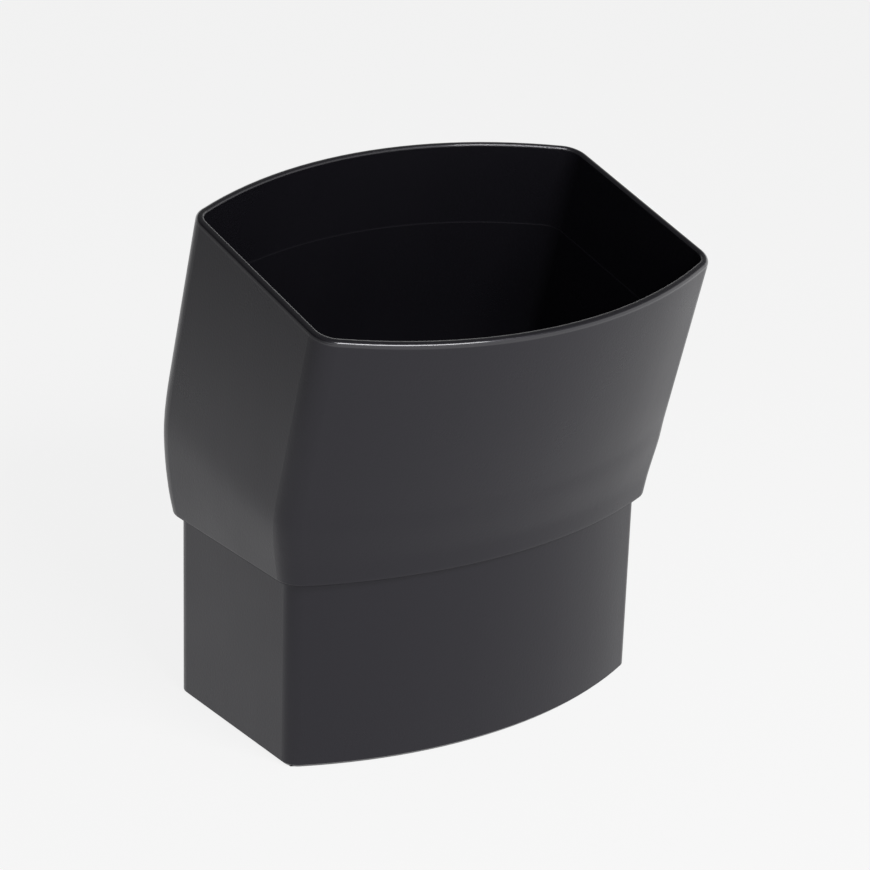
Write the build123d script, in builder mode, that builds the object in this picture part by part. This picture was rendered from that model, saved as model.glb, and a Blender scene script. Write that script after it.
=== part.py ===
from build123d import *
from math import cos, pi, radians, sqrt, tan
import os

# Downpipe bend, moulded in one piece.
# A spigot at the bottom goes down into a pipe of bowed rectangular section.
# Above a shoulder the body flares and leans forward into a socket, which
# takes the same pipe from above. The wall is open from end to end.
#
# Millimetres and degrees. The origin is the centre of the spigot's end,
# Z runs up the spigot, X along the two bowed sides, and the socket leans
# towards -Y. A depth is measured between the crowns of the two bowed sides,
# a side along a short straight side as if its corners were sharp.

# Spigot
spigot_width = 101.0
spigot_depth = 72.0
spigot_side = 47.3
spigot_corner = 4.5
spigot_length = 46.8
spigot_wall = 2.2

# Shoulder: a step out all round, on which the end of the pipe below comes to rest.
# Its edge leans out a little, up to the foot of the flare.
shoulder_step = 2.0
shoulder_edge = 1.3
shoulder_taper = 10.5
shoulder_rounding = 1.0

# Centre line: where it turns above the shoulder, how far and how gently
lean = 15.5
turn_rise = 17.6
turn_radius = 88.0

# Socket, with its length measured along the centre line from the turn to the rim
socket_width = 110.6
socket_depth = 80.6
socket_side = 53.4
socket_corner = 6.5
socket_wall = 2.2
socket_length = 55.6

# Flare from the shoulder to the socket, and the ramp inside it. Its loft runs on a little
# way up the straight socket, so that the two surfaces meet without a crease.
flare_length = 22.0
flare_easing = 1.5
flare_run_on = 3.0
flare_sections = 10
ramp_height = 3.0

# Mouth of the socket, a little wider inside
mouth_relief = 0.3
mouth_length = 22.0

# Edges: the rim is rounded outside, the spigot's end has a lead-in, and both are broken inside
rim_rounding = 1.1
end_lead_in = 0.8
inner_bevel = 0.4

# The duct is cut a little past both ends
overrun = 1.0

# Sizes that follow from these
shoulder_width = spigot_width + 2 * shoulder_step
shoulder_depth = spigot_depth + 2 * shoulder_step
shoulder_side = spigot_side + 2 * shoulder_step
shoulder_corner = spigot_corner + shoulder_step
flare_foot = spigot_length + shoulder_edge
ramp_top = spigot_length + ramp_height


# Centre line, drawn in the plane that it leans in
with BuildLine(Plane.YZ) as centre_line:
    upright = Line((0, 0), (0, spigot_length + turn_rise))
    leaning = PolarLine(upright @ 1, socket_length, angle=90 + lean)
    fillet(centre_line.vertices().sort_by(Axis.Z)[1], turn_radius)

centre_wire = centre_line.wire()
turn_end = centre_wire.length - centre_line.edges().sort_by(Axis.Z)[-1].length
flare_end = max(turn_end, spigot_length + flare_length) + flare_run_on
socket_straight = centre_wire.length - flare_end


def cross_plane(distance):
    """Plane square to the centre line, at a distance along it from the spigot's end."""
    return Plane(
        origin=centre_wire.position_at(distance, position_mode=PositionMode.LENGTH),
        x_dir=(1, 0, 0),
        z_dir=centre_wire.tangent_at(distance, position_mode=PositionMode.LENGTH),
    )


def bowed_section(width, depth, side, corner, inset=0):
    """Rectangle with two bowed sides and rounded corners, drawn smaller by the inset."""
    right, left = width / 2, -width / 2
    with BuildLine() as outline:
        ThreePointArc((right, side / 2), (0, depth / 2), (left, side / 2))
        Line((left, side / 2), (left, -side / 2))
        ThreePointArc((left, -side / 2), (0, -depth / 2), (right, -side / 2))
        Line((right, -side / 2), (right, side / 2))
    make_face(outline.edges())
    fillet(vertices(), corner)
    if inset:
        offset(amount=-inset, mode=Mode.REPLACE)


def spigot_section(inset=0):
    bowed_section(spigot_width, spigot_depth, spigot_side, spigot_corner, inset)


def socket_section(inset=0):
    bowed_section(socket_width, socket_depth, socket_side, socket_corner, inset)


def shoulder_section():
    bowed_section(shoulder_width, shoulder_depth, shoulder_side, shoulder_corner)


def grown_side(width, depth, side, growth):
    """Short side of a bowed section once its outline has moved outwards all round."""
    bow = (depth - side) / 2
    radius = (width**2 / 4 + bow**2) / (2 * bow)
    centre = depth / 2 - radius
    return 2 * (centre + sqrt((radius + growth) ** 2 - (width / 2 + growth) ** 2))


# Sizes of the section at the foot of the flare and in the socket
edge_growth = shoulder_edge * tan(radians(shoulder_taper))
foot_sizes = (
    shoulder_width + 2 * edge_growth,
    shoulder_depth + 2 * edge_growth,
    grown_side(shoulder_width, shoulder_depth, shoulder_side, edge_growth),
    shoulder_corner + edge_growth,
)
socket_sizes = (socket_width, socket_depth, socket_side, socket_corner)


def flare_section(distance, inset=0):
    """Section between shoulder and socket: quick growth at first, easing into the socket."""
    climbed = min((distance - flare_foot) / (flare_length - shoulder_edge), 1)
    grown = 1 - (1 - climbed) ** flare_easing
    sizes = [foot + grown * (top - foot) for foot, top in zip(foot_sizes, socket_sizes)]
    bowed_section(*sizes, inset)


def loft_flare(start, inset=0):
    """Smooth loft along the turn, from a start to the foot of the socket.

    Its sections stand closer together towards both ends, so that it meets what
    lies below and above it without a crease.
    """
    sections = []
    for number in range(flare_sections):
        half_turn = pi * number / (flare_sections - 1)
        share = (1 - cos(half_turn)) / 2
        distance = start + share * (flare_end - start)
        with BuildSketch(cross_plane(distance)) as section:
            flare_section(distance, inset)
        sections.append(section.sketch)
    loft(sections=sections)


# Duct: the space inside, from the spigot's end to the rim
with BuildPart() as duct:
    with BuildSketch(Plane.XY.offset(-overrun)):
        spigot_section(spigot_wall)
    extrude(amount=spigot_length + overrun)

    with BuildSketch(cross_plane(spigot_length)):
        spigot_section(spigot_wall)
    with BuildSketch(cross_plane(ramp_top)):
        flare_section(ramp_top, socket_wall)
    loft(ruled=True)

    loft_flare(ramp_top, socket_wall)

    with BuildSketch(cross_plane(flare_end)):
        socket_section(socket_wall)
    extrude(amount=socket_straight + overrun)

    with BuildSketch(cross_plane(centre_wire.length - mouth_length)):
        socket_section(socket_wall - mouth_relief)
    extrude(amount=mouth_length + overrun)


# Body: spigot, flared turn and socket around the duct
rim_plane = cross_plane(centre_wire.length)
rim_axis = Axis(rim_plane.origin, rim_plane.z_dir)

with BuildPart() as bend_body:
    with BuildSketch(Plane.XY):
        spigot_section()
    extrude(amount=spigot_length)

    with BuildSketch(Plane.XY.offset(spigot_length)):
        shoulder_section()
    extrude(amount=shoulder_edge, taper=-shoulder_taper)

    loft_flare(flare_foot)

    with BuildSketch(cross_plane(flare_end)):
        socket_section()
    extrude(amount=socket_straight)

    shoulder = bend_body.faces().filter_by(Axis.Z).sort_by(Axis.Z)[-1]
    fillet(shoulder.outer_wire().edges(), shoulder_rounding)

    add(duct.part, mode=Mode.SUBTRACT)

    rim = bend_body.faces().sort_by(rim_axis)[-1]
    fillet(rim.outer_wire().edges(), rim_rounding)
    rim = bend_body.faces().sort_by(rim_axis)[-1]
    chamfer(rim.inner_wires()[0].edges(), inner_bevel)

    end = bend_body.faces().sort_by(Axis.Z)[0]
    chamfer(end.outer_wire().edges(), end_lead_in)
    end = bend_body.faces().sort_by(Axis.Z)[0]
    chamfer(end.inner_wires()[0].edges(), inner_bevel)

bend_body.part.label = "bend_body"

os.makedirs("parts", exist_ok=True)
export_step(bend_body.part, "parts/bend_body.step")
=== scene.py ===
import math

import bpy
from mathutils import Matrix, Vector

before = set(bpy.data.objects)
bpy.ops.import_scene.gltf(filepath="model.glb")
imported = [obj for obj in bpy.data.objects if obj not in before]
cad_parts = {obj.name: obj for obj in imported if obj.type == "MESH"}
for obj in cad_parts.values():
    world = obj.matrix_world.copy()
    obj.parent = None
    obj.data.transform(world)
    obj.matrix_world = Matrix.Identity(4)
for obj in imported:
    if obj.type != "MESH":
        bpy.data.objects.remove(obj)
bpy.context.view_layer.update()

# Metres and degrees throughout; -Y is the front and an azimuth turns from there towards +X

# Camera, as the photograph was taken
camera_place = (-0.37195, -0.50309, 0.31215)
camera_azimuth = -36.95
camera_elevation = 21.60
camera_roll = -1.92
camera_sensor_mm = 36.0
camera_lens_mm = 116.8
camera_nearest = 0.01

# Colours, linear
charcoal = (0.0106, 0.0100, 0.0134, 1.0)
charcoal_deep = (0.0086, 0.0082, 0.0110, 1.0)
sheen_tint = (0.925, 0.905, 1.0, 1.0)
floor_white = (0.90, 0.90, 0.90, 1.0)
white = (1.0, 1.0, 1.0, 1.0)

# Key lamp, a softbox in front of the object: its place seen from the target, size, brightness
key_target = (0.0, 0.0, 0.06)
key_azimuth = 3
key_elevation = 38
key_distance = 0.80
key_size = (0.50, 0.17)
key_radiance = 14.5

# Surround: white to the camera. What lights the object, or shows in its gloss, is dimmer
# overhead and at the back left: by the height and by the side of a direction.
surround_fill = 0.62
dome_from = 0.22
dome_to = 0.50
dome_dim = 0.12
left_direction = (-0.95, 0.31, 0.0)
side_from = 0.30
side_to = 0.80
side_dim = 0.30

# Floor: the share of plain white that it shows to the camera, and in the object's gloss,
# where it falls off with the distance to the back left as a painted pool of light, with
# painted shade at the back left
floor_size = 8.0
floor_lift_seen = 0.86
floor_lift = 0.78
floor_lift_painted_shade_left = 0.18
painted_shade_from = 0.128
painted_shade_to = 0.325

# Outline of the spigot's foot on the floor, within its wall: half sizes and bow
foot_half_width = 0.0494
foot_half_depth = 0.0349
foot_bow = 4.84

# Plastic
plastic_ior = 1.5
plastic_specular = 0.46
coat_roughness = 0.05

# Moulded surface: fine grain, broad zones and faint flow lines up the wall, per metre
grain_scale = 1700.0
grain_detail = 3.0
grain_roughness = 0.55
grain_depth = 0.00003
zone_scale = 38.0
flow_scale = (60.0, 60.0, 7.0)
flow_depth = 0.00006
soft_detail = 2.0
soft_roughness = 0.5

# Satin: roughness of the surface, by broad zones and a little by the grain
zone_share = 0.7
grain_share = 0.3
satin_noise_from = 0.3
satin_noise_to = 0.7
satin_from = 0.26
satin_to = 0.35

# Underside of the shoulder's edge, which is a little more matt
matt_edge_height = 0.0470
matt_edge_reach = 0.0004
matt_edge_gain = 0.40

# Rim of the socket, glossier than the satin wall, by the height above the rim's plane
rim_centre = (0.0, -0.01486, 0.11798)
rim_axis = (0.0, -0.267238, 0.96363)
gloss_from = -0.0013
gloss_to = -0.0010

# Softened edge inside the rim; faces that point outwards by more than the limit keep theirs
edge_softness = 0.0008
edge_samples = 8
inner_limit = 0.002


def node(tree, kind, **settings):
    """A shader node with the properties and the socket values that are named."""
    made = tree.nodes.new(kind)
    for name, value in settings.items():
        if name in made.inputs:
            made.inputs[name].default_value = value
        else:
            setattr(made, name, value)
    return made


def feed(tree, socket, value):
    """Links a socket to an input, or sets it to a plain value."""
    if isinstance(value, bpy.types.NodeSocket):
        tree.links.new(value, socket)
    else:
        socket.default_value = value


def math_node(tree, operation, *values):
    """Output of a Math node."""
    made = node(tree, "ShaderNodeMath", operation=operation)
    for socket, value in zip(made.inputs, values):
        feed(tree, socket, value)
    return made.outputs["Value"]


def vector_node(tree, operation, output, first, second):
    """Output of a Vector Math node."""
    made = node(tree, "ShaderNodeVectorMath", operation=operation)
    for socket, value in zip(made.inputs, (first, second)):
        feed(tree, socket, value)
    return made.outputs[output]


def mix_node(tree, kind, share, first, second):
    """Output of a Mix node of the kind RGBA or VECTOR."""
    made = node(tree, "ShaderNodeMix", data_type=kind)
    used = [socket for socket in made.inputs if socket.enabled]
    for socket, value in zip(used, (share, first, second)):
        feed(tree, socket, value)
    return next(socket for socket in made.outputs if socket.enabled)


def smooth_range(tree, value, start, end, at_start, at_end, kind="SMOOTHSTEP"):
    """Output that goes from one value to another as the input passes a range."""
    made = node(tree, "ShaderNodeMapRange", interpolation_type=kind)
    tree.links.new(value, made.inputs["Value"])
    made.inputs["From Min"].default_value = start
    made.inputs["From Max"].default_value = end
    made.inputs["To Min"].default_value = at_start
    made.inputs["To Max"].default_value = at_end
    return made.outputs["Result"]


def split_vector(tree, vector):
    """X, Y and Z of a vector, by name."""
    made = tree.nodes.new("ShaderNodeSeparateXYZ")
    tree.links.new(vector, made.inputs["Vector"])
    return made.outputs


def leftward(tree, vector):
    """How far a point or direction lies to the back left."""
    return vector_node(tree, "DOT_PRODUCT", "Value", vector, left_direction)


def mirror_ray(tree, path):
    """1 for rays that show the surroundings in a gloss or through a glass."""
    return math_node(
        tree, "MAXIMUM", path.outputs["Is Glossy Ray"], path.outputs["Is Transmission Ray"]
    )


def noise(tree, vector, scale, detail, roughness):
    """Noise over a vector, from 0 to 1."""
    made = node(tree, "ShaderNodeTexNoise", Scale=scale, Detail=detail, Roughness=roughness)
    tree.links.new(vector, made.inputs["Vector"])
    return made.outputs["Fac"]


def bump(tree, height, depth, normal):
    """Normal bent by a height of a given depth."""
    made = node(tree, "ShaderNodeBump", Strength=1.0, Distance=depth)
    tree.links.new(height, made.inputs["Height"])
    tree.links.new(normal, made.inputs["Normal"])
    return made.outputs["Normal"]


def make_camera():
    data = bpy.data.cameras.new("camera")
    data.sensor_width = camera_sensor_mm
    data.lens = camera_lens_mm
    data.clip_start = camera_nearest
    camera = bpy.data.objects.new("camera", data)
    bpy.context.scene.collection.objects.link(camera)
    camera.matrix_world = (
        Matrix.Translation(camera_place)
        @ Matrix.Rotation(math.radians(camera_azimuth), 4, "Z")
        @ Matrix.Rotation(math.radians(90 - camera_elevation), 4, "X")
        @ Matrix.Rotation(math.radians(-camera_roll), 4, "Z")
    )
    bpy.context.scene.camera = camera


def make_world():
    """White to the camera, dimmed by height and side for what lights the object."""
    world = bpy.data.worlds.new("studio")
    bpy.context.scene.world = world
    world.use_nodes = True
    tree = world.node_tree
    tree.nodes.clear()
    out = tree.nodes.new("ShaderNodeOutputWorld")
    direction = tree.nodes.new("ShaderNodeTexCoord").outputs["Generated"]
    height = split_vector(tree, direction)["Z"]
    overhead = smooth_range(tree, height, dome_from, dome_to, 1.0, dome_dim)
    side = smooth_range(tree, leftward(tree, direction), side_from, side_to, 1.0, side_dim)
    shape = math_node(tree, "MULTIPLY", overhead, side)
    path = tree.nodes.new("ShaderNodeLightPath")
    share = math_node(tree, "MAXIMUM", mirror_ray(tree, path), surround_fill)
    lit = math_node(tree, "MULTIPLY", shape, share)
    strength = math_node(tree, "MAXIMUM", path.outputs["Is Camera Ray"], lit)
    light = node(tree, "ShaderNodeBackground", Color=white)
    tree.links.new(strength, light.inputs["Strength"])
    tree.links.new(light.outputs["Background"], out.inputs["Surface"])


def make_key():
    """Rectangular softbox that faces its target."""
    turn, rise = math.radians(key_azimuth), math.radians(key_elevation)
    away = Vector(
        (
            math.sin(turn) * math.cos(rise),
            -math.cos(turn) * math.cos(rise),
            math.sin(rise),
        )
    )
    data = bpy.data.lights.new("key", "AREA")
    data.shape = "RECTANGLE"
    data.size, data.size_y = key_size
    data.energy = key_radiance * math.pi * data.size * data.size_y
    lamp = bpy.data.objects.new("key", data)
    bpy.context.scene.collection.objects.link(lamp)
    lamp.location = Vector(key_target) + away * key_distance
    lamp.rotation_euler = (-away).to_track_quat("-Z", "Y").to_euler()


def outside_foot(tree, place):
    """1 on the floor around the spigot, 0 on the patch inside it, which lies in the dark."""
    parts = split_vector(tree, place)
    across = math_node(tree, "ABSOLUTE", parts["X"])
    bow = math_node(tree, "MULTIPLY", math_node(tree, "MULTIPLY", across, across), foot_bow)
    deep = math_node(tree, "ADD", math_node(tree, "ABSOLUTE", parts["Y"]), bow)
    beside = math_node(tree, "GREATER_THAN", across, foot_half_width)
    before = math_node(tree, "GREATER_THAN", deep, foot_half_depth)
    return math_node(tree, "MAXIMUM", beside, before)


def floor_material():
    """Matt white that keeps the shadow, lifted towards plain white for the eye, and in gloss
    by a painted pool of light that fades to painted shade at the back left.
    """
    material = bpy.data.materials.new("floor")
    material.use_nodes = True
    tree = material.node_tree
    tree.nodes.clear()
    out = tree.nodes.new("ShaderNodeOutputMaterial")
    matt = node(tree, "ShaderNodeBsdfDiffuse", Color=floor_white)
    plain = node(tree, "ShaderNodeEmission", Color=white, Strength=1.0)
    place = tree.nodes.new("ShaderNodeNewGeometry").outputs["Position"]
    distance = leftward(tree, place)
    # Painted pool of light: the white lift that the gloss shows fades to painted shade
    # towards the back left
    lift = smooth_range(tree, distance, painted_shade_from, painted_shade_to, floor_lift, floor_lift_painted_shade_left)
    path = tree.nodes.new("ShaderNodeLightPath")
    mirrored = math_node(tree, "MULTIPLY", mirror_ray(tree, path), lift)
    seen = math_node(tree, "MULTIPLY", path.outputs["Is Camera Ray"], floor_lift_seen)
    share = math_node(tree, "MAXIMUM", seen, mirrored)
    # The painted white lift is left off the patch inside the spigot, so that its real shadow
    # shows
    share = math_node(tree, "MULTIPLY", share, outside_foot(tree, place))
    mixed = tree.nodes.new("ShaderNodeMixShader")
    for source, socket in zip((share, matt.outputs[0], plain.outputs[0]), mixed.inputs):
        tree.links.new(source, socket)
    tree.links.new(mixed.outputs["Shader"], out.inputs["Surface"])
    return material


def make_floor():
    bpy.ops.mesh.primitive_plane_add(size=floor_size, location=(0, 0, 0))
    floor = bpy.context.object
    floor.name = "floor"
    floor.data.materials.append(floor_material())


def satin_roughness(tree, place, zones, grain):
    """Roughness of the wall, with the more matt edge under the shoulder."""
    mixed = math_node(
        tree,
        "ADD",
        math_node(tree, "MULTIPLY", zones, zone_share),
        math_node(tree, "MULTIPLY", grain, grain_share),
    )
    satin = smooth_range(
        tree, mixed, satin_noise_from, satin_noise_to, satin_from, satin_to, "LINEAR"
    )
    height = split_vector(tree, place)["Z"]
    band = math_node(tree, "COMPARE", height, matt_edge_height, matt_edge_reach)
    return math_node(tree, "MULTIPLY_ADD", band, matt_edge_gain, satin)


def softened_normal(tree, from_rim, gloss):
    """Normal with the edge inside the rim rounded; the one outside is round in the mesh."""
    surface = tree.nodes.new("ShaderNodeNewGeometry").outputs["Normal"]
    outward = vector_node(tree, "DOT_PRODUCT", "Value", surface, from_rim)
    inner = math_node(tree, "LESS_THAN", outward, inner_limit)
    inner_edge = math_node(tree, "MULTIPLY", inner, gloss)
    softened = node(tree, "ShaderNodeBevel", samples=edge_samples, Radius=edge_softness)
    return mix_node(tree, "VECTOR", inner_edge, surface, softened.outputs["Normal"])


def charcoal_plastic():
    """Satin moulded plastic with a glossy rim."""
    material = bpy.data.materials.new("charcoal_plastic")
    material.use_nodes = True
    tree = material.node_tree
    shader = tree.nodes["Principled BSDF"]
    shader.inputs["IOR"].default_value = plastic_ior
    shader.inputs["Specular IOR Level"].default_value = plastic_specular
    shader.inputs["Specular Tint"].default_value = sheen_tint
    shader.inputs["Coat Roughness"].default_value = coat_roughness

    place = tree.nodes.new("ShaderNodeTexCoord").outputs["Object"]
    stretched = node(tree, "ShaderNodeMapping", Scale=flow_scale)
    tree.links.new(place, stretched.inputs["Vector"])
    grain = noise(tree, place, grain_scale, grain_detail, grain_roughness)
    zones = noise(tree, place, zone_scale, soft_detail, soft_roughness)
    flow = noise(tree, stretched.outputs["Vector"], 1.0, soft_detail, soft_roughness)

    from_rim = vector_node(tree, "SUBTRACT", "Vector", place, rim_centre)
    above_rim = vector_node(tree, "DOT_PRODUCT", "Value", from_rim, rim_axis)
    gloss = smooth_range(tree, above_rim, gloss_from, gloss_to, 0.0, 1.0)

    normal = softened_normal(tree, from_rim, gloss)
    bent = bump(tree, flow, flow_depth, normal)
    bent = bump(tree, grain, grain_depth, bent)

    colour = mix_node(tree, "RGBA", flow, charcoal_deep, charcoal)
    tree.links.new(colour, shader.inputs["Base Color"])
    roughness = satin_roughness(tree, place, zones, grain)
    tree.links.new(roughness, shader.inputs["Roughness"])
    tree.links.new(gloss, shader.inputs["Coat Weight"])
    tree.links.new(normal, shader.inputs["Coat Normal"])
    tree.links.new(bent, shader.inputs["Normal"])
    return material


make_camera()
make_world()
make_key()
make_floor()

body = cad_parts["bend_body"]
body.data.materials.clear()
body.data.materials.append(charcoal_plastic())

bpy.context.scene.view_settings.view_transform = "Standard"
